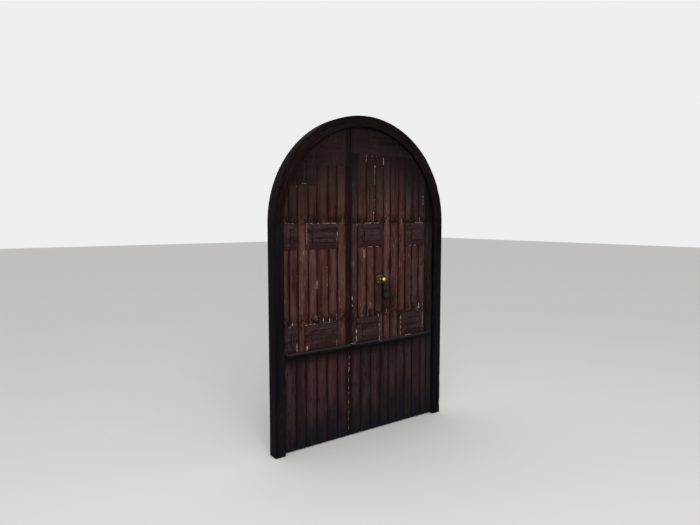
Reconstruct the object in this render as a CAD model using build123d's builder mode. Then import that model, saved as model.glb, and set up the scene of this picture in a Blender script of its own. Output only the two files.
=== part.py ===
from build123d import *
from math import cos, degrees, radians, sin
import os

# A round-headed double door in its own wooden frame: an unequal pair of leaves that open inwards.
# X runs along the door to the right, +Y into the house and +Z up. The unit is the millimetre.
# The origin is at the bottom centre of the whole door, knob and hinges included.

# The frame
frame_radius = 735.0         # outside of the round head, and half the frame's width
spring_height = 1515.0       # where the straight jambs end and the round head begins
frame_face = 75.0            # width of the frame's face
frame_recess = 28.0          # how far the leaves' face lies behind the frame's face
rebate = 13.0                # how far the leaves pass behind the frame's lip, with their gap
frame_arris = 4.0            # bevel along the lip's front edge
head_joint = 0.6             # open joint between two curved pieces of the head
edge_gap = 5.0               # between a leaf's edge and the rebate
lip_gap = 1.5                # between a leaf's face and the lip
foot_gap = 8.0               # under the leaves
fixing_radius = 5.5          # holes for the screws that hold the jambs to a wall
fixing_head_radius = 10.0
fixing_count = 4
fixing_low = 270.0           # height of the lowest fixing hole
fixing_spacing = 360.0

# The leaves
meeting_offset = 122.0       # the leaves meet this far to the left of the frame's middle
meeting_gap = 5.0
board_thickness = 20.0
framing_thickness = 32.0
leaf_proud = 1.0             # the leaves' inner face stands this far behind the frame's
board_gap = 1.5
board_bevel = 4.5            # the two bevels that make each V-shaped joint
stile_width = 85.0
rail_height = 120.0
bottom_rail_height = 165.0
right_head_depth = 190.0     # from the arch's crown down to the underside of the right head rail
left_head_depth = 283.0
left_shoulder_depth = 419.0
board_split_height = 656.0   # where the lower boards end and the upper ones begin
upper_rail_drop = 90.0       # from the springing to the middle of the rail behind the upper blocks

# Board widths, counted from the meeting line outwards. They are scaled to fill each leaf.
right_upper_widths = (60, 77, 77, 77, 65, 77, 67, 68, 68, 68, 83)
left_upper_widths = (36, 75, 72, 89, 68, 80, 65, 59)
right_lower_widths = (87, 90, 90, 75, 82, 75, 78, 89, 60, 61)
left_lower_widths = (28, 82, 85, 83, 85, 75, 106)

# The upper boards that lie under each block, counted from 0 at the meeting line
right_inner_indexes = range(1, 4)
right_outer_indexes = range(7, 10)
left_inner_indexes = range(2, 5)
left_outer_indexes = range(6, 8)
left_tall_count = 4          # the left leaf's boards that reach the upper step of its head rail

# How far the left and right end of each block pass those boards, in the upper and in the lower row
right_inner_passes = ((2.5, -3.7), (14.8, -36.8))
right_outer_passes = ((0.5, -10.3), (28.3, -19.5))
left_inner_passes = ((24.8, 3.4), (33.8, -4.6))
left_outer_passes = ((0.0, -1.5), (0.0, -7.7))

# The raised blocks and the weather bar
block_height = 174.0
upper_block_drop = 172.0     # from the springing down to the upper blocks' lower edge
lower_block_low = 670.0
block_plinth = 5.0
block_bevel = 40.0
block_rise = 16.0
block_field = 3.0            # the last small step up to the block's flat field
block_field_margin = 4.0
block_lip_gap = 6.0          # between the outermost block and the frame's lip
bar_top = 668.0
bar_height = 24.0
bar_reach = 28.0
bar_slope = 8.0
bar_drip_radius = 3.0
bar_setback = 4.0            # at the meeting edge, so that either leaf can open alone
bar_end_gap = 10.0           # between the bar's outer end and the frame's lip
bar_end_step = 4.0           # how thick the bar's splayed outer end still is

# The strap hinges and their pintles
strap_width = 45.0
strap_tip_width = 28.0
strap_thickness = 5.0
strap_tip_radius = 20.0
right_strap_length = 560.0
left_strap_length = 380.0
eye_radius = 13.0
pin_radius = 7.0
pin_clearance = 0.08
eye_offset = 14.0            # from the leaf's inner face to the hinge axis
eye_gap = 2.0                # between the rebate's edge and the eye
pintle_gap = 0.3             # under the eye
pintle_boss_radius = 12.0
pintle_boss_height = 18.0
pintle_plate_width = 48.0
pintle_plate_height = 76.0
pintle_plate_thickness = 4.0
pin_tip = 5.0                # how far the pin stands above the eye

# The slide bolts on the inner face
bolt_radius = 6.0
bolt_clearance = 0.08
bolt_axis = 10.0             # from the leaf's inner face to the rod's axis
bolt_travel = 34.0
bolt_plate_length = 140.0
bolt_plate_width = 34.0
bolt_plate_thickness = 3.0
guide_length = 12.0
guide_width = 24.0
guide_roof = 4.0
bolt_grip_radius = 5.0
bolt_grip_length = 20.0
bolt_tip_inset = 4.0         # the drawn rod's tip lies this far inside the leaf's edge
keeper_length = 14.0
keeper_wall = 5.0
keeper_clearance = 1.5
keeper_reach = 20.0          # from the leaf's edge to the keeper's middle

# The knob, the staple and the padlock
knob_edge = 30.5             # from its board's outer edge to the knob's middle
knob_height = 1108.0
knob_reach = 66.0
knob_ball_radius = 23.0
knob_base_radius = 11.0      # the neck's foot on the rose
knob_base_height = 3.0
knob_waist_radius = 6.8
knob_neck_radius = 8.0
knob_stud_radius = 5.0
knob_stud_depth = 34.0
rose_radius = 34.0
rose_rim = 3.0
rose_dish_radius = 26.5      # a point on the dished ring between the rim and the boss
rose_dish_height = 5.6
rose_boss_radius = 18.5      # the boss's foot
rose_boss_foot = 4.5
rose_boss_top_radius = 14.0
rose_height = 9.0
stud_clearance = 0.2
staple_edge = 15.3           # from the next board's inner edge to the staple
staple_drop = 46.0           # from the knob's height down to the staple's lower leg
staple_wire_radius = 3.0
staple_bend_radius = 12.0
staple_reach = 24.0
staple_depth = 15.0
wire_clearance = 0.05
shackle_wire_radius = 4.0
shackle_bend_radius = 13.0
shackle_leg = 28.0
shackle_seat = 8.0
hang_gap = 0.3
padlock_offset = 15.5        # from the boards to the padlock's middle
padlock_height = 66.0
padlock_belly_radius = 28.0
padlock_shoulder = 18.0      # half the distance between the shoulders' centres
padlock_shoulder_radius = 6.0
padlock_thickness = 24.0
padlock_round = 3.5

# Places that follow from the sizes above
lip_radius = frame_radius - frame_face
rebate_radius = lip_radius + rebate
leaf_radius = rebate_radius - edge_gap
leaf_thickness = board_thickness + framing_thickness
back_reach = leaf_thickness + bolt_axis + bolt_grip_length
face_y = (knob_reach - back_reach) / 2
framing_y = face_y + board_thickness
leaf_back = face_y + leaf_thickness
frame_front = face_y - frame_recess
frame_back = leaf_back - leaf_proud
meeting_x = -meeting_offset
right_edge = meeting_x + meeting_gap / 2
left_edge = meeting_x - meeting_gap / 2
hinge_x = rebate_radius + eye_gap + eye_radius
hinge_y = leaf_back + eye_offset
leaf_crown = spring_height + leaf_radius
right_head_height = leaf_crown - right_head_depth
left_head_height = leaf_crown - left_head_depth
left_shoulder_height = leaf_crown - left_shoulder_depth
upper_rail_height = spring_height - upper_rail_drop
upper_block_low = spring_height - upper_block_drop
lock_rail_height = knob_height
staple_height = knob_height - staple_drop
knob_board = right_inner_indexes[-1]
staple_board = knob_board + 1

os.makedirs("parts", exist_ok=True)


def save(part, name):
    """Label one finished piece and write it to its own file."""
    part.label = name
    export_step(part, f"parts/{name}.step")


def front_plane(y):
    """An upright plane at y, drawn in X and Z, whose normal points out of the house."""
    return Plane.XZ.offset(-y)


def arch_window(radius):
    """The round-headed shape of this radius, from the ground up, drawn in X and Z."""
    with BuildSketch() as window:
        with Locations((0, spring_height / 2)):
            Rectangle(2 * radius, spring_height)
        with Locations((0, spring_height)):
            Circle(radius)
    return window.sketch


def frame_section(side):
    """The frame's rebated section, drawn in distance from the middle and Y."""
    lip_back = face_y - lip_gap
    with BuildSketch() as section:
        with BuildLine():
            Polyline(
                (side * (lip_radius + frame_arris), frame_front),
                (side * frame_radius, frame_front),
                (side * frame_radius, frame_back),
                (side * rebate_radius, frame_back),
                (side * rebate_radius, lip_back),
                (side * lip_radius, lip_back),
                (side * lip_radius, frame_front + frame_arris),
                close=True,
            )
        make_face()
    return section.sketch


def spread(start, end, widths):
    """Divide the way from start to end into boards with these relative widths."""
    scale = (end - start) / sum(widths)
    places = []
    edge = start
    for width in widths:
        places.append((edge, edge + width * scale))
        edge += width * scale
    return [(min(a, b), max(a, b)) for a, b in places]


leaf_window = arch_window(leaf_radius)

# The frame: two straight jambs with countersunk fixing holes in the rebate


def jamb(side):
    """One straight jamb, on the left for side -1 and on the right for side 1."""
    section = frame_section(side)
    hole_y = (face_y - lip_gap + frame_back) / 2
    holes = [
        Plane(origin=(side * rebate_radius, hole_y, fixing_low + step * fixing_spacing), z_dir=(-side, 0, 0))
        for step in range(fixing_count)
    ]
    with BuildPart() as post:
        with BuildSketch():
            add(section)
        extrude(amount=spring_height)
        with Locations(*holes):
            CounterSinkHole(fixing_radius, fixing_head_radius, depth=frame_radius - rebate_radius)
    return post.part


save(jamb(-1), "left_jamb")
save(jamb(1), "right_jamb")

# The round head: four curved pieces, each an eighth of a turn, that meet in radial joints
head_names = ("head_right_haunch", "head_right_crown", "head_left_crown", "head_left_haunch")
head_turn = 180 / len(head_names)
joint_turn = degrees(head_joint / frame_radius)
head_section = frame_section(1)


def head_piece(start):
    """One curved piece of the head that starts at this angle above the right springing."""
    lean = radians(start)
    plane = Plane(
        origin=(0, 0, spring_height),
        x_dir=(cos(lean), 0, sin(lean)),
        z_dir=(-sin(lean), 0, cos(lean)),
    )
    with BuildPart() as piece:
        with BuildSketch(plane):
            add(head_section)
        revolve(axis=Axis((0, 0, spring_height), (0, -1, 0)), revolution_arc=head_turn - joint_turn)
    return piece.part


for index, name in enumerate(head_names):
    save(head_piece(index * head_turn + joint_turn / 2), name)


# Each leaf: upright boards on the outside, nailed to stiles and rails behind them


def board(left, right, low, high):
    """One upright board with bevelled front edges, cut to the leaf's round outline."""
    with BuildPart() as plank:
        with BuildSketch(front_plane(face_y)):
            with Locations(((left + right) / 2, (low + high) / 2)):
                Rectangle(right - left - board_gap, high - low)
            add(leaf_window, mode=Mode.INTERSECT)
        extrude(amount=-board_thickness)
        chamfer(plank.edges().filter_by(Axis.Z).group_by(Axis.Y)[0], board_bevel)
    return plank.part


def as_set(pieces):
    """Several like pieces, separate from each other, as one set."""
    with BuildPart() as group:
        add(pieces)
    return group.part


def framing(left, right, low, high):
    """One straight stile or rail of the framing behind the boards."""
    with BuildPart() as timber:
        with BuildSketch(front_plane(framing_y)):
            with Locations(((left + right) / 2, (low + high) / 2)):
                Rectangle(right - left, high - low)
        extrude(amount=-framing_thickness)
    return timber.part


def head_rail(left, right, steps):
    """The curved head rail of one leaf.

    Above each step (left, right, low) it has the leaf's full thickness. Elsewhere its front is
    rebated for the boards, and only its curved rim follows the arch down to the springing.
    """
    with BuildPart() as rail:
        for step_left, step_right, step_low in steps:
            with BuildSketch(front_plane(face_y)):
                with Locations(((step_left + step_right) / 2, (step_low + leaf_crown) / 2)):
                    Rectangle(step_right - step_left, leaf_crown - step_low)
                add(leaf_window, mode=Mode.INTERSECT)
            extrude(amount=-leaf_thickness)
        with BuildSketch(front_plane(framing_y)):
            with Locations((0, spring_height)):
                Circle(leaf_radius)
                Circle(leaf_radius - stile_width, mode=Mode.SUBTRACT)
            with Locations(((left + right) / 2, (spring_height + leaf_crown) / 2)):
                Rectangle(right - left, leaf_radius, mode=Mode.INTERSECT)
        extrude(amount=-framing_thickness)
    return rail.part


def block(left, right, low):
    """One raised and fielded block that is planted on the boards."""
    centre = ((left + right) / 2, low + block_height / 2)
    width = right - left
    field_width = width - 2 * (block_bevel + block_field_margin)
    field_height = block_height - 2 * (block_bevel + block_field_margin)
    with BuildPart() as panel:
        with BuildSketch(front_plane(face_y)):
            with Locations(centre):
                Rectangle(width, block_height)
        extrude(amount=block_plinth + block_rise)
        front = panel.faces().sort_by(Axis.Y)[0]
        chamfer(front.edges(), length=block_bevel, length2=block_rise, reference=front)
        with BuildSketch(front_plane(face_y - block_plinth - block_rise)):
            with Locations(centre):
                Rectangle(field_width, field_height)
        extrude(amount=block_field)
    return panel.part


def weather_bar(meeting_end, outer_end):
    """The bar that throws rain off: a sloping top, a drip groove beneath, a splayed outer end."""
    side = 1 if outer_end > meeting_end else -1
    left, right = sorted((meeting_end, outer_end))
    bottom = bar_top - bar_height
    splay = bar_reach - bar_end_step
    with BuildPart() as bar:
        with BuildSketch(Plane.YZ.offset(left)):
            with BuildLine():
                Polyline(
                    (face_y, bar_top),
                    (face_y - bar_reach, bar_top - bar_slope),
                    (face_y - bar_reach, bottom + bar_slope / 2),
                    (face_y - bar_reach + bar_slope / 2, bottom),
                    (face_y, bottom),
                    close=True,
                )
            make_face()
            with Locations((face_y - bar_reach / 2, bottom)):
                Circle(bar_drip_radius, mode=Mode.SUBTRACT)
        extrude(amount=right - left)
        with BuildSketch(Plane.XY.offset(bottom)):
            with BuildLine():
                Polyline(
                    (outer_end, face_y - bar_end_step),
                    (outer_end, face_y - bar_reach),
                    (outer_end - side * splay, face_y - bar_reach),
                    close=True,
                )
            make_face()
        extrude(amount=bar_height, mode=Mode.SUBTRACT)
    return bar.part


def mid_rail_span():
    """Lowest and highest height of the rail that both sets of boards are nailed to."""
    return board_split_height - rail_height / 2, board_split_height + rail_height / 2


def save_framing(leaf, near, far, head_low):
    """Stiles and rails of one leaf, between its meeting edge and its hinge edge."""
    side = 1 if far > near else -1
    inner = sorted((near, near + side * stile_width))
    outer = sorted((far - side * stile_width, far))
    between = (min(inner[1], outer[1]), max(inner[0], outer[0]))
    save(framing(*inner, foot_gap, head_low), f"{leaf}_meeting_stile")
    save(framing(*outer, foot_gap, spring_height), f"{leaf}_hinge_stile")
    save(framing(*between, foot_gap, foot_gap + bottom_rail_height), f"{leaf}_bottom_rail")
    save(framing(*between, *mid_rail_span()), f"{leaf}_middle_rail")
    upper_low = upper_rail_height - rail_height / 2
    save(framing(*between, upper_low, upper_low + rail_height), f"{leaf}_upper_rail")
    return between


right_between = save_framing("right", right_edge, leaf_radius, right_head_height)
save_framing("left", left_edge, -leaf_radius, left_head_height)

# Outer boards. Every board stops under the head rail or where the arch cuts it off.
right_places = spread(right_edge, leaf_radius, right_upper_widths)
left_places = spread(left_edge, -leaf_radius, left_upper_widths)
shoulder_x = left_places[left_tall_count - 1][0]


def right_board(index):
    """Upper board of the right leaf, counted from the meeting edge."""
    return board(*right_places[index], board_split_height + board_gap, right_head_height - board_gap)


def left_board(index):
    """Upper board of the left leaf, counted from the meeting edge."""
    head = left_head_height if index < left_tall_count else left_shoulder_height
    return board(*left_places[index], board_split_height + board_gap, head - board_gap)


def lower_boards(start, end, widths):
    """All the boards below the weather bar of one leaf."""
    return as_set([board(*place, foot_gap, board_split_height) for place in spread(start, end, widths)])


knob_x = right_places[knob_board][1] - knob_edge
staple_x = right_places[staple_board][0] + staple_edge
staple_legs = (staple_height, staple_height + 2 * staple_bend_radius)

with BuildPart() as right_inner_boards:
    add([right_board(index) for index in right_inner_indexes])
    with BuildSketch(front_plane(face_y)):
        with Locations((knob_x, knob_height)):
            Circle(knob_stud_radius + stud_clearance)
    extrude(amount=-board_thickness, mode=Mode.SUBTRACT)
save(right_inner_boards.part, "right_inner_boards")

with BuildPart() as right_middle_board_1:
    add(right_board(staple_board))
    with BuildSketch(front_plane(face_y)):
        with Locations(*[(staple_x, height) for height in staple_legs]):
            Circle(staple_wire_radius + wire_clearance)
    extrude(amount=-staple_depth, mode=Mode.SUBTRACT)
save(right_middle_board_1.part, "right_middle_board_1")

save(right_board(0), "right_meeting_board")
save(right_board(5), "right_middle_board_2")
save(right_board(6), "right_middle_board_3")
save(as_set([right_board(index) for index in right_outer_indexes]), "right_outer_boards")
save(right_board(10), "right_hinge_board")
save(lower_boards(right_edge, leaf_radius, right_lower_widths), "right_lower_boards")

save(left_board(0), "left_meeting_strip")
save(left_board(1), "left_meeting_board")
save(as_set([left_board(index) for index in left_inner_indexes]), "left_inner_boards")
save(left_board(5), "left_middle_board")
save(as_set([left_board(index) for index in left_outer_indexes]), "left_outer_boards")
save(lower_boards(left_edge, -leaf_radius, left_lower_widths), "left_lower_boards")

# The head rails. The left one steps down towards the hinges, as its boards end lower there.
right_head_steps = [(right_edge, leaf_radius, right_head_height)]
left_head_steps = [
    (shoulder_x, left_edge, left_head_height),
    (-leaf_radius, shoulder_x, left_shoulder_height),
]
save(head_rail(right_edge, leaf_radius, right_head_steps), "right_head_rail")
save(head_rail(-leaf_radius, left_edge, left_head_steps), "left_head_rail")

# The lock rail of the right leaf takes the knob's stud and carries the cross bolt.
with BuildPart() as right_lock_rail:
    add(framing(*right_between, lock_rail_height - rail_height / 2, lock_rail_height + rail_height / 2))
    with BuildSketch(front_plane(framing_y)):
        with Locations((knob_x, knob_height)):
            Circle(knob_stud_radius + stud_clearance)
    extrude(amount=-(knob_stud_depth - board_thickness), mode=Mode.SUBTRACT)
save(right_lock_rail.part, "right_lock_rail")

# Raised blocks, two rows of them, each over its set of boards
block_limit = lip_radius - block_lip_gap


def block_span(places, indexes, passes):
    """Left and right end of a block over these boards, held clear of the frame's lip."""
    left = min(places[index][0] for index in indexes) - passes[0]
    right = max(places[index][1] for index in indexes) + passes[1]
    return max(left, -block_limit), min(right, block_limit)


block_sets = {
    "right_inner": (right_places, right_inner_indexes, right_inner_passes),
    "right_outer": (right_places, right_outer_indexes, right_outer_passes),
    "left_inner": (left_places, left_inner_indexes, left_inner_passes),
    "left_outer": (left_places, left_outer_indexes, left_outer_passes),
}
for name, (places, indexes, (upper_passes, lower_passes)) in block_sets.items():
    save(block(*block_span(places, indexes, upper_passes), upper_block_low), f"{name}_upper_block")
    save(block(*block_span(places, indexes, lower_passes), lower_block_low), f"{name}_lower_block")

bar_limit = lip_radius - bar_end_gap
save(weather_bar(right_edge + bar_setback, bar_limit), "right_weather_bar")
save(weather_bar(left_edge - bar_setback, -bar_limit), "left_weather_bar")


# Strap hinges: an eye at the end of each iron strap turns on a pintle that is fixed to the jamb


def strap(side, height, length):
    """One strap with its eye, on the inner face of the leaf."""
    plane = Plane(origin=(side * hinge_x, leaf_back, height), x_dir=(-side, 0, 0), z_dir=(0, 1, 0))
    with BuildPart() as iron:
        with BuildSketch(plane):
            with BuildLine():
                Polyline(
                    (0, -strap_width / 2),
                    (length, -strap_tip_width / 2),
                    (length, strap_tip_width / 2),
                    (0, strap_width / 2),
                    close=True,
                )
            make_face()
            with Locations((length, 0)):
                Circle(strap_tip_radius)
        extrude(amount=strap_thickness)
        with BuildSketch(Plane.XY.offset(height - strap_width / 2)):
            with Locations((side * hinge_x, hinge_y)):
                Circle(eye_radius)
        extrude(amount=strap_width)
        with BuildSketch(Plane.XY.offset(height - strap_width / 2)):
            with Locations((side * hinge_x, hinge_y)):
                Circle(pin_radius + pin_clearance)
        extrude(amount=strap_width, mode=Mode.SUBTRACT)
    return iron.part


def pintle(side, height):
    """One pintle: a plate on the jamb's back, a boss under the eye and the pin through it."""
    boss_top = height - strap_width / 2 - pintle_gap
    plate_x = side * (rebate_radius + frame_radius) / 2
    with BuildPart() as iron:
        with BuildSketch(front_plane(frame_back)):
            with Locations((plate_x, boss_top - pintle_plate_height / 2)):
                RectangleRounded(pintle_plate_width, pintle_plate_height, pintle_plate_thickness)
        extrude(amount=-pintle_plate_thickness)
        with BuildSketch(Plane.XY.offset(boss_top - pintle_boss_height)):
            with Locations((side * hinge_x, hinge_y)):
                Circle(pintle_boss_radius)
            with Locations((side * hinge_x, (frame_back + hinge_y) / 2)):
                Rectangle(2 * pintle_boss_radius, hinge_y - frame_back)
        extrude(amount=pintle_boss_height)
        with BuildSketch(Plane.XY.offset(boss_top)):
            with Locations((side * hinge_x, hinge_y)):
                Circle(pin_radius)
        extrude(amount=strap_width + 2 * pintle_gap + pin_tip)
        chamfer(iron.edges().group_by(Axis.Z)[-1], pin_radius / 4)
    return iron.part


low_strap_height = foot_gap + bottom_rail_height - strap_width
strap_heights = (low_strap_height, board_split_height, upper_rail_height)
for leaf, side, length in (("left", -1, left_strap_length), ("right", 1, right_strap_length)):
    save(as_set([strap(side, height, length) for height in strap_heights]), f"{leaf}_strap_hinges")
    save(as_set([pintle(side, height) for height in strap_heights]), f"{leaf}_pintles")


# Slide bolts: a round rod in two guides, with a grip between them


def bolt_plate(plane):
    """The plate of one slide bolt, whose rod moves along the plane's x."""
    guide_place = (bolt_plate_length - guide_length) / 2 - keeper_wall
    bore = Plane(
        origin=plane.from_local_coords((-bolt_plate_length / 2, 0, bolt_axis)),
        z_dir=plane.x_dir,
    )
    with BuildPart() as plate:
        with BuildSketch(plane):
            RectangleRounded(bolt_plate_length, bolt_plate_width, bolt_plate_thickness)
        extrude(amount=bolt_plate_thickness)
        with BuildSketch(plane):
            with Locations((-guide_place, 0), (guide_place, 0)):
                Rectangle(guide_length, guide_width)
        extrude(amount=bolt_axis + bolt_radius + guide_roof)
        with BuildSketch(bore):
            Circle(bolt_radius + bolt_clearance)
        extrude(amount=bolt_plate_length, mode=Mode.SUBTRACT)
    return plate.part


def bolt_rod(plane, tip):
    """The rod of one slide bolt with its grip. The tip is counted from the plate's middle."""
    tail = -(bolt_plate_length / 2 + bolt_travel)
    start = Plane(origin=plane.from_local_coords((tail, 0, bolt_axis)), z_dir=plane.x_dir)
    grip = Plane(
        origin=plane.from_local_coords((-bolt_travel / 2, 0, bolt_axis)),
        z_dir=plane.z_dir,
    )
    with BuildPart() as rod:
        with BuildSketch(start):
            Circle(bolt_radius)
        extrude(amount=tip - tail)
        chamfer(rod.edges().filter_by(GeomType.CIRCLE), bolt_radius / 5)
        with BuildSketch(grip):
            Circle(bolt_grip_radius)
        extrude(amount=bolt_grip_length)
    return rod.part


def keeper(plane, axis_height):
    """The bridge that a shot bolt passes under, along the plane's x."""
    opening = 2 * (bolt_radius + keeper_clearance)
    height = axis_height + bolt_radius + keeper_clearance
    with BuildPart() as bridge:
        with BuildSketch(plane):
            Rectangle(keeper_length, opening + 2 * keeper_wall)
        extrude(amount=height + keeper_wall)
        with BuildSketch(plane):
            Rectangle(keeper_length, opening)
        extrude(amount=height, mode=Mode.SUBTRACT)
    return bridge.part


left_stile_x = left_edge - stile_width / 2
arch_rise = (leaf_radius**2 - left_stile_x**2) ** 0.5
head_edge_rise = (rebate_radius**2 - left_stile_x**2) ** 0.5
bolt_tip = bolt_plate_length / 2 + bolt_tip_inset
bolt_centre = bolt_tip + bolt_tip_inset

cross_plane = Plane(
    origin=(right_edge + bolt_centre, leaf_back, lock_rail_height), x_dir=(-1, 0, 0), z_dir=(0, 1, 0)
)
top_plane = Plane(
    origin=(left_stile_x, leaf_back, spring_height + arch_rise - bolt_centre - bolt_tip_inset),
    x_dir=(0, 0, 1),
    z_dir=(0, 1, 0),
)
bottom_plane = Plane(
    origin=(left_stile_x, leaf_back, foot_gap + bolt_centre + bolt_tip_inset), x_dir=(0, 0, -1), z_dir=(0, 1, 0)
)
save(bolt_plate(cross_plane), "cross_bolt_plate")
save(bolt_rod(cross_plane, bolt_tip), "cross_bolt")
save(as_set([bolt_plate(top_plane), bolt_plate(bottom_plane)]), "left_bolt_plates")
save(bolt_rod(top_plane, bolt_tip), "top_bolt")
save(bolt_rod(bottom_plane, bolt_tip), "bottom_bolt")

cross_keeper_plane = Plane(
    origin=(left_edge - keeper_reach, leaf_back, lock_rail_height), x_dir=(-1, 0, 0), z_dir=(0, 1, 0)
)
top_keeper_plane = Plane(
    origin=(left_stile_x, frame_back, spring_height + head_edge_rise + keeper_reach / 2 + keeper_wall),
    x_dir=(0, 0, 1),
    z_dir=(0, 1, 0),
)
save(keeper(cross_keeper_plane, bolt_axis), "cross_bolt_keeper")
save(keeper(top_keeper_plane, bolt_axis + leaf_proud), "top_bolt_keeper")

# The fixed brass knob: a turned ball on a neck, over a dished rose, drawn as radius and depth
knob_plane = Plane(origin=(knob_x, face_y, knob_height), x_dir=(1, 0, 0), z_dir=(0, 0, 1))
knob_axis = Axis((knob_x, face_y, knob_height), (0, 1, 0))
ball_out = knob_reach - knob_ball_radius
neck_start = rose_height + knob_base_height
neck_end = ball_out - knob_ball_radius
stud_hole_radius = knob_stud_radius + stud_clearance

with BuildPart() as knob_rose:
    with BuildSketch(knob_plane):
        with BuildLine():
            Polyline(
                (stud_hole_radius, 0),
                (rose_radius, 0),
                (rose_radius, -rose_rim),
            )
            ThreePointArc(
                (rose_radius, -rose_rim),
                (rose_dish_radius, -rose_dish_height),
                (rose_boss_radius, -rose_boss_foot),
            )
            Polyline(
                (rose_boss_radius, -rose_boss_foot),
                (rose_boss_top_radius, -rose_height),
                (stud_hole_radius, -rose_height),
                (stud_hole_radius, 0),
            )
        make_face()
    revolve(axis=knob_axis)
save(knob_rose.part, "knob_rose")

with BuildPart() as door_knob:
    with BuildSketch(knob_plane):
        with BuildLine():
            Polyline(
                (0, knob_stud_depth),
                (knob_stud_radius, knob_stud_depth),
                (knob_stud_radius, -rose_height),
                (knob_base_radius, -rose_height),
                (knob_base_radius, -neck_start),
            )
            ThreePointArc(
                (knob_base_radius, -neck_start),
                (knob_waist_radius, -(neck_start + neck_end) / 2),
                (knob_neck_radius, -neck_end),
            )
            Polyline(
                (knob_neck_radius, -neck_end),
                (knob_neck_radius, -ball_out),
                (0, -ball_out),
                (0, knob_stud_depth),
            )
        make_face()
    revolve(axis=knob_axis)
    with Locations((knob_x, face_y - ball_out, knob_height)):
        Sphere(knob_ball_radius)
save(door_knob.part, "door_knob")

# The staple: a bent iron wire with both legs in the board
with BuildPart() as staple:
    with BuildLine(Plane.YZ.offset(staple_x)) as staple_path:
        low_leg = Line((face_y + staple_depth, staple_legs[0]), (face_y - staple_reach, staple_legs[0]))
        bend = ThreePointArc(
            low_leg @ 1,
            (face_y - staple_reach - staple_bend_radius, staple_legs[0] + staple_bend_radius),
            (face_y - staple_reach, staple_legs[1]),
        )
        Line(bend @ 1, (face_y + staple_depth, staple_legs[1]))
    with BuildSketch(Plane(origin=staple_path.line @ 0, z_dir=staple_path.line % 0)):
        Circle(staple_wire_radius)
    sweep()
save(staple.part, "padlock_staple")

# The padlock hangs from the staple's lower leg by its shackle, and swings about that leg.
padlock_y = face_y - padlock_offset
shackle_drop = shackle_bend_radius - shackle_wire_radius - staple_wire_radius - hang_gap
shackle_centre = staple_height - shackle_drop
padlock_top = shackle_centre - shackle_leg
padlock_plane = front_plane(padlock_y - padlock_thickness / 2)

with BuildPart() as padlock_shackle:
    with BuildLine(front_plane(padlock_y)) as shackle_path:
        left_leg = Line(
            (staple_x - shackle_bend_radius, padlock_top - shackle_seat),
            (staple_x - shackle_bend_radius, shackle_centre),
        )
        crown = ThreePointArc(
            left_leg @ 1,
            (staple_x, shackle_centre + shackle_bend_radius),
            (staple_x + shackle_bend_radius, shackle_centre),
        )
        Line(crown @ 1, (staple_x + shackle_bend_radius, padlock_top - shackle_seat))
    with BuildSketch(Plane(origin=shackle_path.line @ 0, z_dir=shackle_path.line % 0)):
        Circle(shackle_wire_radius)
    sweep()
save(padlock_shackle.part, "padlock_shackle")

with BuildPart() as padlock_body:
    with BuildSketch(padlock_plane):
        with Locations((staple_x, padlock_top - padlock_height + padlock_belly_radius)):
            Circle(padlock_belly_radius)
        with Locations(
            (staple_x - padlock_shoulder, padlock_top - padlock_shoulder_radius),
            (staple_x + padlock_shoulder, padlock_top - padlock_shoulder_radius),
        ):
            Circle(padlock_shoulder_radius)
        make_hull()
    extrude(amount=-padlock_thickness)
    fillet(padlock_body.edges().group_by(Axis.Y)[0], padlock_round)
    fillet(padlock_body.edges().group_by(Axis.Y)[-1], padlock_round)
    with BuildSketch(Plane.XY.offset(padlock_top)):
        with Locations(
            (staple_x - shackle_bend_radius, padlock_y),
            (staple_x + shackle_bend_radius, padlock_y),
        ):
            Circle(shackle_wire_radius + wire_clearance)
    extrude(amount=-shackle_seat, mode=Mode.SUBTRACT)
save(padlock_body.part, "padlock_body")
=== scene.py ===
import math
import random
from functools import partial

import bpy
from mathutils import Matrix, Vector, noise


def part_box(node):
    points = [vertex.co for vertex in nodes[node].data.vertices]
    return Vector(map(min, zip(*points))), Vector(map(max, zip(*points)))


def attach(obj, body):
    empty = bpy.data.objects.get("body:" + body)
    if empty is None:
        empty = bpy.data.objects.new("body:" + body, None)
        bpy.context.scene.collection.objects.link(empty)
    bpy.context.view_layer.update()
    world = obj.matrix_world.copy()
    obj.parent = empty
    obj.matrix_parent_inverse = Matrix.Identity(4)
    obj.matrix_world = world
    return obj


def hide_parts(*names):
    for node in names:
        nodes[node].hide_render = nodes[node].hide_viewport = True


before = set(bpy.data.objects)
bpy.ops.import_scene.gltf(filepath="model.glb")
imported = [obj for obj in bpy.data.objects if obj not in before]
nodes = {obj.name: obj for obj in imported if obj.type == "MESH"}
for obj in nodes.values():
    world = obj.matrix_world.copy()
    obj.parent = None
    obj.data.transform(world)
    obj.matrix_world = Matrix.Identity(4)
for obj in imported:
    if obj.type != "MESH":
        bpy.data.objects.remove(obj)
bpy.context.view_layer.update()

# The camera
# It stands left of the door at eye level, turned to the right and tipped down a little, where the
# photograph was taken from.
camera_place = (-2.312, -3.038, 1.544)
camera_turn = 35.8
camera_tip = 4.63
camera_lens = 27.72

camera_data = bpy.data.cameras.new("street_camera")
camera_data.lens = camera_lens
camera = bpy.data.objects.new("street_camera", camera_data)
camera.location = camera_place
camera.rotation_euler = (math.radians(90 - camera_tip), 0, math.radians(-camera_turn))
bpy.context.scene.collection.objects.link(camera)
bpy.context.scene.camera = camera
bpy.context.scene.view_settings.view_transform = "Standard"

# The floor and the light
# A pale studio floor that runs out to a pale backdrop, a large soft light above and in front of the
# door on the camera's side, and an even fill from all round.
floor_size = 60
floor_colour = (0.8, 0.79, 0.77)
floor_dullness = 0.9
fill_colour = (1, 1, 1)
fill_strength = 0.62
backdrop_colour = (0.86, 0.86, 0.86)
lamp_place = (-2.6, -4.6, 4.2)
lamp_target = (0, 0, 1.1)
lamp_size = 4.0
lamp_power = 190


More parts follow.
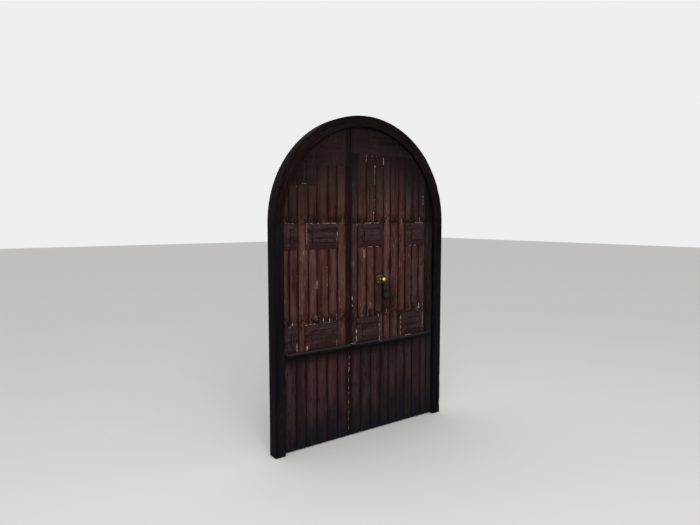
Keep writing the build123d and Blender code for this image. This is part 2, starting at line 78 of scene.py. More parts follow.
def empty_material(name):
    """A new material with its node tree and its shader."""
    made = bpy.data.materials.new(name)
    made.use_nodes = True
    return made, made.node_tree, made.node_tree.nodes["Principled BSDF"]


def feed(value, target):
    """Link a socket to an input, or set a plain value on it. Colours are given without their alpha."""
    if isinstance(value, bpy.types.NodeSocket):
        target.id_data.links.new(value, target)
    else:
        target.default_value = (*value, 1) if target.type == "RGBA" else value


def node(tree, kind, settings=None, inputs=None):
    """One node in a tree, with its settings and its inputs' values or links."""
    made = tree.nodes.new(kind)
    for key, value in (settings or {}).items():
        setattr(made, key, value)
    for key, value in (inputs or {}).items():
        feed(value, made.inputs[key])
    return made


def maths(kind, first, second=0.0):
    """A sum, product or the like of two sockets or numbers."""
    tree = (first if isinstance(first, bpy.types.NodeSocket) else second).id_data
    return node(tree, "ShaderNodeMath", {"operation": kind}, {0: first, 1: second}).outputs[0]


bpy.ops.mesh.primitive_plane_add(size=floor_size, location=(0, 0, 0))
floor = bpy.context.object
floor.name = "studio_floor"
floor_material, _, floor_shader = empty_material("studio_floor")
feed(floor_colour, floor_shader.inputs["Base Color"])
feed(floor_dullness, floor_shader.inputs["Roughness"])
floor.data.materials.append(floor_material)

world = bpy.data.worlds.new("studio")
world.use_nodes = True
sky = world.node_tree
fill = sky.nodes["Background"]
feed(fill_colour, fill.inputs["Color"])
feed(fill_strength, fill.inputs["Strength"])
backdrop = node(sky, "ShaderNodeBackground", None, {"Color": backdrop_colour})
rays = node(sky, "ShaderNodeLightPath").outputs
seen_or_mirrored = maths("MAXIMUM", rays["Is Camera Ray"], rays["Is Glossy Ray"])
both = {0: seen_or_mirrored, 1: fill.outputs[0], 2: backdrop.outputs[0]}
either = node(sky, "ShaderNodeMixShader", None, both)
feed(either.outputs[0], sky.nodes["World Output"].inputs["Surface"])
bpy.context.scene.world = world

lamp_data = bpy.data.lights.new("soft_lamp", "AREA")
lamp_data.size = lamp_size
lamp_data.energy = lamp_power
lamp = bpy.data.objects.new("soft_lamp", lamp_data)
lamp.location = lamp_place
aim = Vector(lamp_target) - Vector(lamp_place)
lamp.rotation_euler = aim.to_track_quat("-Z", "Y").to_euler()
bpy.context.scene.collection.objects.link(lamp)

# The frame: jambs and round head
# Two rebated jambs and four curved head pieces of softwood, stained dark long ago. The jambs are nearly black,
# partly as painted shade, and the head pieces redder, partly as painted reddish light thrown up from below. The
# grain of each curved piece follows the arch.
jamb_stain_and_shade = (0.0045, 0.0032, 0.0052)
frame_grey = (0.0085, 0.0070, 0.0090)
frame_deep = (0.0018, 0.0014, 0.0019)
head_stain_and_bounce_light = (0.0110, 0.0042, 0.0036)
black = (0, 0, 0)
wood_gloss = 0.03
wood_flecks = 0.1
wood_relief = 0.0006
wood_bump = 0.7
seed_step = (17.0, 5.0, 31.0)
spring_height = 1.515
jamb_cut = 0.04
head_turn = 45.0
head_cuts = 12
joint_reach = 0.1
joint_left = 0.005
dent_depth = 0.0014
chip_depth = 0.014
smooth_angle = math.radians(35)

# The product, sum and difference of two sockets or numbers.
times, plus, minus = (partial(maths, kind) for kind in ("MULTIPLY", "ADD", "SUBTRACT"))


def between(value, low, high):
    """A smooth rise from 0 to 1 as a value goes from low to high."""
    limits = {"Value": value, "From Min": low, "From Max": high}
    return node(value.id_data, "ShaderNodeMapRange", {"interpolation_type": "SMOOTHSTEP"}, limits).outputs[0]


def blend(share, first, second):
    """A colour that goes from the first to the second with a share."""
    inputs = {0: share, 6: first, 7: second}
    return node(share.id_data, "ShaderNodeMix", {"data_type": "RGBA"}, inputs).outputs[2]


def vectors(kind, first, second):
    """A vector sum or the like of a socket and another socket or vector."""
    made = node(first.id_data, "ShaderNodeVectorMath", {"operation": kind}, {0: first, 1: second})
    return made.outputs["Value" if kind in ("DISTANCE", "DOT_PRODUCT") else "Vector"]


def scaled(vector, factor):
    """A vector or colour, scaled by a socket."""
    inputs = {0: vector, "Scale": factor}
    return node(factor.id_data, "ShaderNodeVectorMath", {"operation": "SCALE"}, inputs).outputs["Vector"]


def parts(vector):
    """The X, Y and Z of a vector."""
    return node(vector.id_data, "ShaderNodeSeparateXYZ", None, {0: vector}).outputs


def coordinates(tree, kind="Object"):
    """The place of a point on its own piece, or the way its face looks."""
    return node(tree, "ShaderNodeTexCoord").outputs[kind]


def stretched_noise(place, along, scale, detail, rough=0.6):
    """Noise drawn out along the grain, which runs along Z. It isn't drawn out when along is 1."""
    drawn = vectors("MULTIPLY", place, (1, 1, along))
    look = {"Vector": drawn, "Scale": scale, "Detail": detail, "Roughness": rough}
    return node(place.id_data, "ShaderNodeTexNoise", None, look).outputs["Fac"]


def group(name, inputs, outputs):
    """An empty shader group. Its sockets start as a colour, a number, or None for a vector."""
    tree = bpy.data.node_groups.new(name, "ShaderNodeTree")
    kinds = {tuple: "NodeSocketColor", float: "NodeSocketFloat", type(None): "NodeSocketVector"}
    for way, sockets in (("INPUT", inputs), ("OUTPUT", outputs)):
        for label, start in sockets.items():
            socket = tree.interface.new_socket(name=label, in_out=way, socket_type=kinds[type(start)])
            if start is not None:
                socket.default_value = (*start, 1) if isinstance(start, tuple) else start
    return tree, tree.nodes.new("NodeGroupInput").outputs, tree.nodes.new("NodeGroupOutput").inputs


def placed(tree, made, inputs):
    """The outputs of a group that is set into a material with these inputs."""
    return node(tree, "ShaderNodeGroup", {"node_tree": made}, inputs).outputs


def shade(shader, colour, dullness, relief=None, bump=wood_bump, depth=wood_relief):
    """Give a shader its colour and dullness, and a relief as a bump of this strength and depth."""
    feed(colour, shader.inputs["Base Color"])
    feed(dullness, shader.inputs["Roughness"])
    if relief is not None:
        raised = {"Strength": bump, "Distance": depth, "Height": relief}
        feed(node(shader.id_data, "ShaderNodeBump", None, raised).outputs[0], shader.inputs["Normal"])


# Old stained wood: the grain runs along Z, and Seed starts it elsewhere on each board.
old_wood, wood_in, wood_out = group(
    "Old stained wood",
    {
        "Place": None,
        "Seed": 0.0,
        "Stain": (0.05, 0.02, 0.02),
        "Grey": (0.1, 0.08, 0.08),
        "Deep": (0.01, 0.005, 0.005),
        "Weather": 0.5,
        "Bare": (0.22, 0.155, 0.135),
        "Flecks": 0.8,
        "Dashes": 0.4,
    },
    {"Colour": black, "Relief": 0.0, "Dullness": 0.0},
)
shifted = vectors("ADD", wood_in["Place"], scaled(seed_step, wood_in["Seed"]))
broad = stretched_noise(shifted, 0.06, 30, 4)
streaks = stretched_noise(shifted, 0.035, 95, 5)
fibres = stretched_noise(shifted, 0.03, 470, 3, 0.55)
patches = stretched_noise(shifted, 0.11, 17, 5)
specks = stretched_noise(shifted, 0.055, 230, 2, 0.5)
clusters = stretched_noise(shifted, 0.6, 8, 2, 0.5)
cracks = between(stretched_noise(shifted, 0.02, 150, 2, 0.5), 0.37, 0.31)
dashes = between(stretched_noise(shifted, 0.17, 105, 3, 0.55), 0.46, 0.36)
grain = plus(times(broad, 0.45), plus(times(streaks, 0.38), times(fibres, 0.17)))
stained = blend(between(grain, 0.40, 0.58), wood_in["Deep"], wood_in["Stain"])
bare_level = minus(0.80, times(wood_in["Weather"], 0.42))
bare_value = plus(patches, times(streaks, 0.22))
bare_share = between(bare_value, minus(bare_level, 0.14), plus(bare_level, 0.16))
greyed = blend(bare_share, stained, wood_in["Grey"])
lit = blend(times(between(fibres, 0.50, 0.66), 0.30), greyed, wood_in["Grey"])
fleck_share = times(between(specks, 0.63, 0.70), between(clusters, 0.46, 0.60))
flecked = blend(times(fleck_share, wood_in["Flecks"]), lit, wood_in["Bare"])
cracked = blend(times(cracks, 0.8), flecked, wood_in["Deep"])
feed(blend(times(dashes, wood_in["Dashes"]), cracked, wood_in["Deep"]), wood_out["Colour"])
feed(minus(plus(times(streaks, 0.6), times(fibres, 0.4)), cracks), wood_out["Relief"])
feed(plus(0.62, times(bare_share, 0.25)), wood_out["Dullness"])

# Grain that follows the round head: distance from the arch's centre, depth, and the way round.
round_grain, round_in, round_out = group("Round the arch", {"Place": None}, {"Place": None})
arch = parts(round_in["Place"])
above_spring = minus(arch["Z"], spring_height)
arch_turn = maths("ARCTAN2", above_spring, arch["X"])
arch_reach = maths("SQRT", plus(times(above_spring, above_spring), times(arch["X"], arch["X"])))
bent = {"X": arch_reach, "Y": arch["Y"], "Z": times(arch_turn, 0.7)}
feed(node(round_grain, "ShaderNodeCombineXYZ", None, bent).outputs[0], round_out["Place"])

# Grain that lies level, for rails, bars and blocks: X becomes the long way.
level_grain, level_in, level_out = group("Level grain", {"Place": None}, {"Place": None})
level = parts(level_in["Place"])
laid = {"X": level["Z"], "Y": level["Y"], "Z": level["X"]}
feed(node(level_grain, "ShaderNodeCombineXYZ", None, laid).outputs[0], level_out["Place"])

# Dust and bleaching on faces that look up, with painted sky light: they are greyer and lighter.
dust_and_sky_light, dust_in, dust_out = group(
    "Dust on upper faces", {"Place": None, "Normal": None, "Amount": 1.0}, {"Share": 0.0}
)
dust_spots = between(stretched_noise(dust_in["Place"], 1, 60, 5), 0.25, 0.6)
facing_up = between(parts(dust_in["Normal"])["Z"], 0.12, 0.75)
dust_and_light = times(facing_up, plus(0.55, times(dust_spots, 0.45)))
feed(times(dust_and_light, dust_in["Amount"]), dust_out["Share"])


def wood_material(name, stain, grey, deep, weather, lie=None, seed=0.0, dust=0.5, dust_colour=None):
    """Old stained wood for a piece whose grain is upright, level or round the arch."""
    made, tree, shader = empty_material(name)
    feed(wood_gloss, shader.inputs["Specular IOR Level"])
    place = coordinates(tree)
    if lie is not None:
        place = placed(tree, lie, {"Place": place})["Place"]
    look = {"Stain": stain, "Grey": grey, "Deep": deep, "Weather": weather, "Seed": seed, "Flecks": wood_flecks}
    wood = placed(tree, old_wood, {"Place": place, **look})
    dusted_and_lit = placed(tree, dust_and_sky_light, {"Place": place, "Normal": coordinates(tree, "Normal"), "Amount": dust})
    colour = blend(dusted_and_lit["Share"], wood["Colour"], dust_colour or grey)
    shade(shader, colour, wood["Dullness"], wood["Relief"])
    return made, tree, shader, colour


def dress(name, made):
    """Give a CAD node its finish."""
    for slot in nodes[name].material_slots:
        slot.material = made


def cuts_across(source, axis, step):
    """Cutting planes through a node, square to X (0) or Z (2) and about a step apart."""
    facing = (1, 0, 0) if axis == 0 else (0, 0, 1)
    low, high = (corner[axis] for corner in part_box(source))
    count = max(2, round((high - low) / step))
    places = [low + (high - low) * at / count for at in range(1, count)]
    return [(tuple(place * way for way in facing), facing) for place in places]


def cut_copy(name, source, cuts):
    """A clean closed copy of a CAD node, cut across by planes, each as (place, facing)."""
    bpy.ops.object.select_all(action="DESELECT")
    made = bpy.data.objects.new(name, nodes[source].data.copy())
    made.data.name = name
    bpy.context.scene.collection.objects.link(made)
    bpy.context.view_layer.objects.active = made
    made.select_set(True)
    bpy.ops.mesh.customdata_custom_splitnormals_clear()
    bpy.ops.object.mode_set(mode="EDIT")
    bpy.ops.mesh.select_all(action="SELECT")
    bpy.ops.mesh.remove_doubles(threshold=0.00002)
    bpy.ops.mesh.dissolve_limited(angle_limit=math.radians(1))
    for where, facing in cuts:
        bpy.ops.mesh.select_all(action="SELECT")
        bpy.ops.mesh.bisect(plane_co=where, plane_no=facing)
    bpy.ops.mesh.select_all(action="SELECT")
    bpy.ops.mesh.normals_make_consistent(inside=False)
    bpy.ops.object.mode_set(mode="OBJECT")
    made.data.materials.clear()
    return made


def finish_copy(made, source, body, finish):
    """Put a worn copy in the place of its CAD node."""
    made.data.materials.append(finish)
    bpy.ops.object.shade_smooth_by_angle(angle=smooth_angle)
    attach(made, body)
    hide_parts(source)


def wear_frame(made):
    """Dent and chip the frame's front edges, without moving its faces forward."""
    for vertex in made.data.vertices:
        if vertex.co.y < frame_front + 0.0005:
            dent = noise.noise(vertex.co * 11) + 0.5 * noise.noise(vertex.co * 37)
            chip = max(0.0, noise.noise(vertex.co * 19 + Vector((3, 8, 1))) - 0.32)
            vertex.co.y += dent_depth * max(0.0, dent) + chip_depth * chip


frame_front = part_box("left_jamb")[0].y
jamb_wood = wood_material("frame_stained_black", jamb_stain_and_shade, frame_grey, frame_deep, 0.35)[0]
for source in ("left_jamb", "right_jamb"):
    post = cut_copy(f"{source}_worn", source, cuts_across(source, 2, jamb_cut))
    wear_frame(post)
    finish_copy(post, source, "frame", jamb_wood)

# The worn head pieces are turned towards each other at their ends, so that hardly any gap is left.
spring = Vector((0, 0, spring_height))
for step, source in enumerate(("head_right_haunch", "head_right_crown", "head_left_crown", "head_left_haunch")):
    turns = [math.radians(head_turn * step + head_turn * at / head_cuts) for at in range(1, head_cuts)]
    cuts = [(tuple(spring), (-math.sin(turn), 0, math.cos(turn))) for turn in turns]
    curve = cut_copy(f"{source}_worn", source, cuts)
    for vertex in curve.data.vertices:
        turn = math.degrees(math.atan2(vertex.co.z - spring_height, vertex.co.x)) - head_turn * step
        nearest = min(turn, head_turn - turn)
        if nearest < joint_reach:
            lean = math.radians((nearest - joint_left) * (-1 if turn < head_turn / 2 else 1))
            vertex.co = Matrix.Rotation(-lean, 4, "Y") @ (vertex.co - spring) + spring
    wear_frame(curve)
    seed = step + 1.5
    curved_wood = wood_material(f"{source}_stained", head_stain_and_bounce_light, frame_grey, frame_deep, 0.3, round_grain, seed)
    finish_copy(curve, source, "frame", curved_wood[0])

# The framing of the leaves
# Stiles and rails of planed softwood behind the boards, joined into one frame for each leaf. Only
# the inner face shows them, so their stain is less bleached.
framing_stain = (0.040, 0.020, 0.015)
framing_grey = (0.075, 0.055, 0.045)
framing_deep = (0.012, 0.006, 0.005)
framing_dust = 0.7

for leaf, rails in (
    ("left", ("bottom_rail", "middle_rail", "upper_rail")),
    ("right", ("bottom_rail", "middle_rail", "lock_rail", "upper_rail")),
):
    for step, part in enumerate(("meeting_stile", "hinge_stile") + rails):
        lie = level_grain if part.endswith("rail") else None
        seed = step * 1.7 + len(leaf)
        wood = wood_material(
            f"{leaf}_{part}_wood", framing_stain, framing_grey, framing_deep, 0.35, lie, seed, framing_dust
        )
        dress(f"{leaf}_{part}", wood[0])

# The head rails
# One thick curved rail at the top of each leaf, with level grain. It lies deep in the round head, and its dark
# brown stain is partly painted shade; rain has run down it in grey streaks.
rail_stain_and_shade = (0.0105, 0.0058, 0.0054)
rail_grey = (0.0150, 0.0092, 0.0088)
rail_deep = (0.0050, 0.0027, 0.0026)
rail_run = (0.0260, 0.0185, 0.0168)
rail_warm = (0.0230, 0.0128, 0.0112)
warm_reach = (0.62, 0.47)
meeting_middle = -0.136
meeting_shade_reach = (0.040, 0.012)


def arch_distance(tree, place):
    """How far a place lies from the centre of the round head."""
    return parts(placed(tree, round_grain, {"Place": place})["Place"])["X"]


for leaf, seed in (("left", 3.1), ("right", 8.4)):
    made, tree, shader, colour = wood_material(
        f"{leaf}_head_rail_wood", rail_stain_and_shade, rail_grey, rail_deep, 0.45, level_grain, seed
    )
    place = coordinates(tree)
    near_boards = between(arch_distance(tree, place), *warm_reach)
    warmed = blend(times(near_boards, 0.65), colour, rail_warm)
    drips = between(stretched_noise(place, 0.05, 85, 4), 0.47, 0.68)
    spread = between(stretched_noise(place, 0.5, 9, 3), 0.42, 0.62)
    drained = blend(times(times(drips, spread), 0.75), warmed, rail_run)
    # Painted shade along the meeting of the leaves.
    from_meeting = maths("ABSOLUTE", minus(parts(place)["X"], meeting_middle))
    meeting_shade = times(between(from_meeting, *meeting_shade_reach), 0.75)
    feed(blend(meeting_shade, drained, rail_deep), shader.inputs["Base Color"])
    dress(f"{leaf}_head_rail", made)

# The boards
# Upright softwood boards with bevelled edges, nailed on. Sun and rain have bleached their reddish
# stain, cupped them and worn their edges. Each is a worn copy of the CAD board, cut into short
# lengths so that it can bend.
board_stain = (0.068, 0.0190, 0.0145)
board_grey = (0.074, 0.0400, 0.0360)
board_deep = (0.0170, 0.0055, 0.0046)
meeting_stain = (0.034, 0.0155, 0.0135)
meeting_grey = (0.050, 0.0290, 0.0275)
middle_stain = (0.062, 0.0208, 0.0170)
outer_stain = (0.046, 0.0180, 0.0165)
outer_grey = (0.048, 0.0325, 0.0315)
lower_stain = (0.027, 0.0110, 0.0120)
lower_grey = (0.032, 0.0196, 0.0200)
lower_deep = (0.0085, 0.0036, 0.0042)
lower_brown = (0.0225, 0.0126, 0.0112)
lower_rose = (0.034, 0.0172, 0.0185)
painted_light_red = (0.066, 0.0270, 0.0270)
padlock_shadow_grey = (0.0120, 0.0098, 0.0105)
rose_shadow_brown = (0.0200, 0.0075, 0.0040)
shoulder_grey = (0.0260, 0.0160, 0.0160)
side_grey = (0.0225, 0.0180, 0.0200)
foot_grey = (0.0064, 0.0077, 0.0125)
joint_dirt = (0.0068, 0.0034, 0.0031)
joint_shade_red = (0.0125, 0.0048, 0.0042)
low_tint = (1.10, 1.03, 0.97)
high_tint = (0.88, 1.04, 1.09)
upper_flecks = 0.8
lower_flecks = 0.1
board_bump = 0.8
board_relief = 0.0007

# Painted shade under the arch and beside its haunches, greying, the weather bar's painted shadow, and darkening
# at the foot: where each begins and where it is full, and how strong it is.
arch_shade_rise = (1.48, 2.02)
arch_shade_share = 0.66
haunch_reach = (0.40, 0.60)
haunch_rise = (1.44, 1.62)
haunch_shade_share = 0.40
grey_rise = (1.40, 1.90)
grey_fall = (0.96, 0.74)
bar_shade_rise = (0.550, 0.628)
bar_shade_share = 0.9
hinge_side = (0.36, 0.66)
foot_dark_rise = (0.40, -0.05)
# How far a face has to look sideways to be on the side of a joint, where it gets painted shade, and outwards to
# be outside.
joint_shade_facing = (0.25, 0.65)
outside_facing = (0.6, 0.2)

# Each spot: x, z, reach, reach at full strength, share, colour.
board_spots = (
    # The first two spots are painted shadow of the padlock, and the third painted shadow round the rose.
    (0.188, 0.985, 0.135, 0.070, 0.66, board_deep),
    (0.205, 0.950, 0.080, 0.020, 0.55, padlock_shadow_grey),
    (0.137, 1.106, 0.062, 0.040, 0.65, rose_shadow_brown),
    (-0.33, 1.61, 0.170, 0.050, 0.42, board_deep),
    # This spot and the two after it are patches of painted light on the lower boards.
    (-0.29, 0.45, 0.260, 0.100, 0.35, painted_light_red),
    (-0.21, 0.28, 0.110, 0.030, 0.22, painted_light_red),
    (0.31, 0.35, 0.190, 0.060, 0.20, painted_light_red),
    (0.20, 1.24, 0.110, 0.030, 0.24, board_deep),
    (-0.005, 1.24, 0.090, 0.020, 0.24, board_deep),
    (-0.48, 1.20, 0.150, 0.050, 0.20, board_deep),
    (0.56, 0.95, 0.085, 0.030, 0.38, board_deep),
    (-0.57, 1.64, 0.200, 0.080, 0.45, shoulder_grey),
)
# Each band of crumbled dirt: its lower edge, middle and upper edge.
crumb_bands = ((0.760, 0.860, 0.940), (1.490, 1.530, 1.600))
crumb_share = 0.9

# Each finish: stain, grey, weather, the range of its boards' tones, and its dark dashes if they are many.
board_finishes = {
    "left_board": (board_stain, board_grey, 0.45, (1.03, 1.32)),
    "left_outer_board": (board_stain, board_grey, 0.50, (1.02, 1.12)),
    "right_board": (board_stain, board_grey, 0.45, (0.92, 1.28)),
    "middle_board": (middle_stain, board_grey, 0.45, (1.06, 1.42)),
    "outer_board": (outer_stain, outer_grey, 0.50, (1.12, 1.44), 0.6),
    "meeting_board": (meeting_stain, meeting_grey, 0.55, (0.90, 0.94)),
    # The meeting strip's low tones are painted shade beside the meeting gap.
    "meeting_strip": (meeting_stain, meeting_grey, 0.35, (0.45, 0.50)),
    "hinge_board": (outer_stain, outer_grey, 0.40, (0.44, 0.50)),
    "lower_board": (lower_stain, lower_grey, 0.50, (1.08, 1.50), 0.8),
}

# The boards' shape, and how far it is worn.
face_y = -0.008
board_back = 0.012
board_cut = 0.045
board_gap = 0.0015
hairline = 0.00015
touching = 0.0001
dirt_reach = 0.022
bevel_reach = 0.006
joint_wear = 0.0025
edge_wear = 0.0022
edge_chips = 0.012
edge_dip = 0.0006
board_cup = 0.0012
split_place = (0.2367, 1.217)
split_reach = 0.012
split_half_height = 0.075
split_width = 0.0105
split_depth = 0.011


def islands(mesh):
    """Left end, right end and top of the separate board that each vertex belongs to."""
    parent = list(range(len(mesh.vertices)))

    def root(at):
        while parent[at] != at:
            parent[at] = parent[parent[at]]
            at = parent[at]
        return at

    for edge in mesh.edges:
        parent[root(edge.vertices[0])] = root(edge.vertices[1])
    spans = {}
    for vertex in mesh.vertices:
        key = root(vertex.index)
        low, high, top = spans.get(key, (9.0, -9.0, -9.0))
        spans[key] = (min(low, vertex.co.x), max(high, vertex.co.x), max(top, vertex.co.z))
    return [spans[root(at)] for at in range(len(mesh.vertices))]


def wear_board(made):
    """Cup and bow the boards of one node, wear their long edges, and note where dirt gathers."""
    spans = islands(made.data)
    dirt = made.data.attributes.new("dirt", "FLOAT", "POINT")
    for vertex, (left, right, top) in zip(made.data.vertices, spans):
        place = vertex.co.copy()
        middle = (left + right) / 2
        inward = 1 if place.x < middle else -1
        from_edge = min(place.x - left, right - place.x)
        dirt.data[vertex.index].value = max(0.0, 1 - from_edge / dirt_reach)
        if from_edge < touching:
            vertex.co.x -= (board_gap - hairline) / 2 * inward
        if place.z > top - touching:
            vertex.co.z += board_gap - hairline
        if place.y > board_back - 0.001:
            continue
        nick = noise.noise(Vector((place.x * 3, place.z * 21, 0.3 + inward)))
        chip = max(0.0, noise.noise(Vector((place.x * 9, place.z * 8, 4.7 + inward))) - 0.28)
        split = 0.0
        if abs(place.x - split_place[0]) < split_reach:
            split = max(0.0, 1 - ((place.z - split_place[1]) / split_half_height) ** 2)
        if from_edge < touching:
            vertex.co.y += max(0.0, joint_wear * (0.5 + nick) + split_depth * split)
        elif from_edge < bevel_reach:
            wear = edge_wear * (0.5 + nick) + edge_chips * chip + split_width * split
            vertex.co.x += inward * max(0.0, wear)
            vertex.co.y += edge_dip * max(0.0, nick)
        else:
            vertex.co.y += board_cup * noise.noise(Vector((middle * 13, place.z * 2.3, 1.9)))


def middle_cuts(source):
    """Upright cutting planes down the middle of each board of a node, found from its own outline."""
    probe = cut_copy(f"{source}_probe", source, [])
    outline = probe.data
    bpy.data.objects.remove(probe)
    middles = sorted({round((left + right) / 2, 4) for left, right, top in islands(outline)})
    return [((middle, 0, 0), (1, 0, 0)) for middle in middles]


def board_material(name, stain, grey, weather, tones, dashes=0.3):
    """Boards of slightly different tones, with painted shade that darkens and evens them under the arch and
    beside its haunches, dirt along their edges and painted shade on the sides of their joints.
    """
    made, tree, shader = empty_material(f"{name}_stained")
    lower = name == "lower_board"
    feed(wood_gloss, shader.inputs["Specular IOR Level"])
    place = coordinates(tree)
    across, height = parts(place)["X"], parts(place)["Z"]
    facing = parts(coordinates(tree, "Normal"))
    joint_side_shade = between(maths("ABSOLUTE", facing["X"]), *joint_shade_facing)
    outside = between(facing["Y"], *outside_facing)
    # Painted shade: under the arch the boards are darker, evener and more dashed.
    arch_shade = between(height, *arch_shade_rise)
    each_board = node(tree, "ShaderNodeNewGeometry").outputs["Random Per Island"]

    look = {"Place": place, "Seed": each_board, "Stain": stain, "Grey": grey, "Weather": weather}
    if lower:
        redder = maths("FRACT", times(each_board, 13.7))
        look |= {"Stain": blend(redder, lower_brown, stain), "Grey": blend(redder, grey, lower_rose)}
    look["Deep"] = lower_deep if lower else board_deep
    look["Flecks"] = times(outside, lower_flecks if lower else upper_flecks)
    look["Dashes"] = plus(dashes, times(arch_shade, 0.35))
    wood = placed(tree, old_wood, look)
    colour = wood["Colour"]
    if not lower:
        # Painted shade evens out the grain under the arch.
        even = tuple(0.39 * (one + other) for one, other in zip(stain, grey))
        evened = blend(times(arch_shade, 0.7), colour, even)
        below_middle = times(between(height, *grey_fall), 0.85)
        greyer = maths("MAXIMUM", between(height, *grey_rise), below_middle)
        colour = vectors("MULTIPLY", evened, blend(greyer, low_tint, high_tint))

    # Painted shade beside the arch's haunches.
    near_haunch = between(arch_distance(tree, place), *haunch_reach)
    haunch = times(near_haunch, between(height, *haunch_rise))
    # shelter is the painted shade under the arch and beside its haunches, as one factor.
    shelter = times(minus(1.0, times(arch_shade, arch_shade_share)), minus(1.0, times(haunch, haunch_shade_share)))
    limits = {"Value": each_board, "To Min": tones[0], "To Max": tones[1]}
    tone = node(tree, "ShaderNodeMapRange", None, limits)
    colour = scaled(colour, times(tone.outputs[0], shelter))

    for x, z, far, near, share, spot_colour in board_spots:
        amount = times(between(vectors("DISTANCE", place, (x, 0, z)), far, near), share)
        colour = blend(times(amount, outside), colour, spot_colour)
    crumbs = times(between(stretched_noise(place, 0.45, 58, 4, 0.65), 0.44, 0.53), outside)
    for low, middle, high in crumb_bands:
        band = times(between(height, low, middle), between(height, high, middle))
        colour = blend(times(times(band, crumb_share), crumbs), colour, joint_dirt)

    gathered = node(tree, "ShaderNodeAttribute", {"attribute_name": "dirt"}).outputs["Fac"]
    uneven = between(stretched_noise(place, 0.2, 26, 4), 0.30, 0.62)
    smudge = times(maths("POWER", gathered, 1.06 if lower else 1.6), uneven)
    open_top = minus(1.0, times(arch_shade, 0.55))
    colour = blend(times(smudge, times(open_top, 0.75)), colour, joint_dirt)
    if lower:
        # Painted shadow of the weather bar across the tops of the lower boards.
        bar_shadow = between(height, *bar_shade_rise)
        colour = blend(times(bar_shadow, bar_shade_share), colour, joint_dirt)
        colour = blend(times(between(across, *hinge_side), 0.7), colour, side_grey)
        # Darker and bluer towards the foot.
        rise = minus(stretched_noise(place, 0.25, 24, 4), 0.5)
        near_ground = between(minus(height, times(rise, 0.8)), *foot_dark_rise)
        colour = blend(times(near_ground, times(outside, 0.95)), colour, foot_grey)
    # Painted shade on the sloping sides of the joints, less under the arch.
    colour = blend(times(joint_side_shade, times(open_top, 0.85)), colour, joint_shade_red)
    shade(shader, colour, wood["Dullness"], wood["Relief"], board_bump, board_relief)
    return made


finishes = {name: board_material(name, *row) for name, row in board_finishes.items()}

# For each leaf, its worn pieces, and the left end, right end, foot and top of each of its boards.
worn = {"left_leaf": [], "right_leaf": []}
board_spans = {"left_leaf": [], "right_leaf": []}
for source, finish in (
    ("left_meeting_strip", "meeting_strip"),
    ("left_meeting_board", "left_board"),
    ("left_inner_boards", "left_board"),
    ("left_middle_board", "left_board"),
    ("left_outer_boards", "left_outer_board"),
    ("left_lower_boards", "lower_board"),
    ("right_meeting_board", "meeting_board"),
    ("right_inner_boards", "right_board"),
    ("right_middle_board_1", "middle_board"),
    ("right_middle_board_2", "middle_board"),
    ("right_middle_board_3", "middle_board"),
    ("right_outer_boards", "outer_board"),
    ("right_hinge_board", "hinge_board"),
    ("right_lower_boards", "lower_board"),
):
    body = source.split("_")[0] + "_leaf"
    cuts = cuts_across(source, 2, board_cut) + middle_cuts(source)
    planks = cut_copy(f"{source}_worn", source, cuts)
    wear_board(planks)
    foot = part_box(source)[0].z
    for left, right, top in sorted({tuple(round(value, 3) for value in span) for span in islands(planks.data)}):
        board_spans[body].append((left, right, foot, top))
    finish_copy(planks, source, body, finishes[finish])
    worn[body].append(planks)

# The raised blocks
# Softwood blocks with four sloping sides and a small flat field, planted on the boards in two rows.
# Their grain is level. The upper slopes are greyer with dust and painted sky light, and the lower ones darker
# and redder with painted shade tinted by reddish light from below.
block_stain = (0.038, 0.0164, 0.0161)
block_grey = (0.0465, 0.0270, 0.0272)
block_deep = (0.009, 0.0038, 0.0038)
block_dust_and_sky_grey = (0.0265, 0.0195, 0.0200)
block_underside_shade = (0.030, 0.0100, 0.0088)
block_dirt = (0.010, 0.0048, 0.0046)
block_dust_and_light = 0.85
block_inset = 0.0425
block_cut = 0.016
block_waves = 0.0011
block_ripples = 0.0006
block_chips = 0.009

field_outline, outline_in, outline_out = group(
    "Dirt round the field", {"Place": None, "Low": None, "High": None, "Inset": 0.04}, {"Share": 0.0}
)
from_low = vectors("SUBTRACT", outline_in["Place"], outline_in["Low"])
from_high = vectors("SUBTRACT", outline_in["High"], outline_in["Place"])
nearest_side = parts(vectors("MINIMUM", from_low, from_high))
to_side = maths("MINIMUM", nearest_side["X"], nearest_side["Z"])
off_line = maths("ABSOLUTE", minus(to_side, outline_in["Inset"]))
outline_noise = between(stretched_noise(outline_in["Place"], 1, 30, 4), 0.30, 0.60)
outline_dirt = times(between(off_line, 0.0060, 0.0012), outline_noise)
outer_dirt = times(between(to_side, 0.006, 0.001), 0.6)
feed(maths("MAXIMUM", outline_dirt, outer_dirt), outline_out["Share"])


def block_material(source, seed):
    """A raised block: upper slope greyer with dust and painted sky light, grained field with dirt round it, a
    darker, redder lower slope as painted shade.
    """
    made, tree, shader, colour = wood_material(
        f"{source}_wood", block_stain, block_grey, block_deep, 0.5, level_grain, seed, block_dust_and_light, block_dust_and_sky_grey
    )
    place = coordinates(tree)
    low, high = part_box(source)
    outline = placed(tree, field_outline, {"Place": place, "Low": low, "High": high, "Inset": block_inset})
    # Painted shade, tinted red, on the slopes that look down.
    facing_down = between(parts(coordinates(tree, "Normal"))["Z"], -0.12, -0.4)
    sloped = blend(times(facing_down, 0.6), colour, block_underside_shade)
    blotches = between(stretched_noise(place, 1, 48, 5), 0.50, 0.60)
    blotched = blend(times(blotches, 0.40), sloped, block_dirt)
    feed(blend(times(outline["Share"], 0.8), blotched, block_dirt), shader.inputs["Base Color"])
    return made


